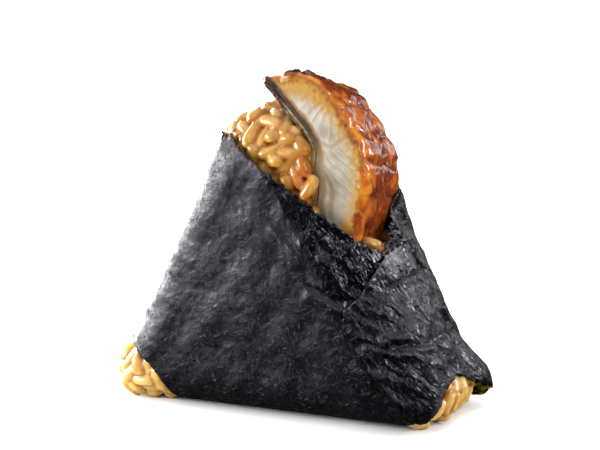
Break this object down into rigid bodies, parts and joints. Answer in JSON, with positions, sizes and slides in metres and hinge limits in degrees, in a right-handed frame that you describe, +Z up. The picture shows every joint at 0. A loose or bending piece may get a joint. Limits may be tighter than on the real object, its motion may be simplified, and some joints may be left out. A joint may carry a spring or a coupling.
{
  "type": "onigiri rice ball",
  "caption": "Triangular onigiri of seasoned rice wrapped in nori, its top and base corners bare, with a thick slice of glazed grilled eel on its shoulder.",
  "frame": {"origin": "middle of the flat base that it stands on", "axes": "+Z up towards the top of the triangle, -Y out of the front face, +X towards the corner under the eel"},
  "size_m": [0.0924, 0.0404, 0.0852],
  "materials": {
    "rice": "moist soy-seasoned rice, translucent and glossy",
    "nori": "dried seaweed sheet, near black with a soft grey sheen",
    "eel": "cream flesh under a browned, glossy sweet soy glaze",
    "eel_skin": "thin olive-grey fish skin, moist"
  },
  "bodies": {
    "root": {"rice": "rice", "nori": "nori", "eel": "eel", "eel_skin": "eel_skin"}
  },
  "joints": []
}
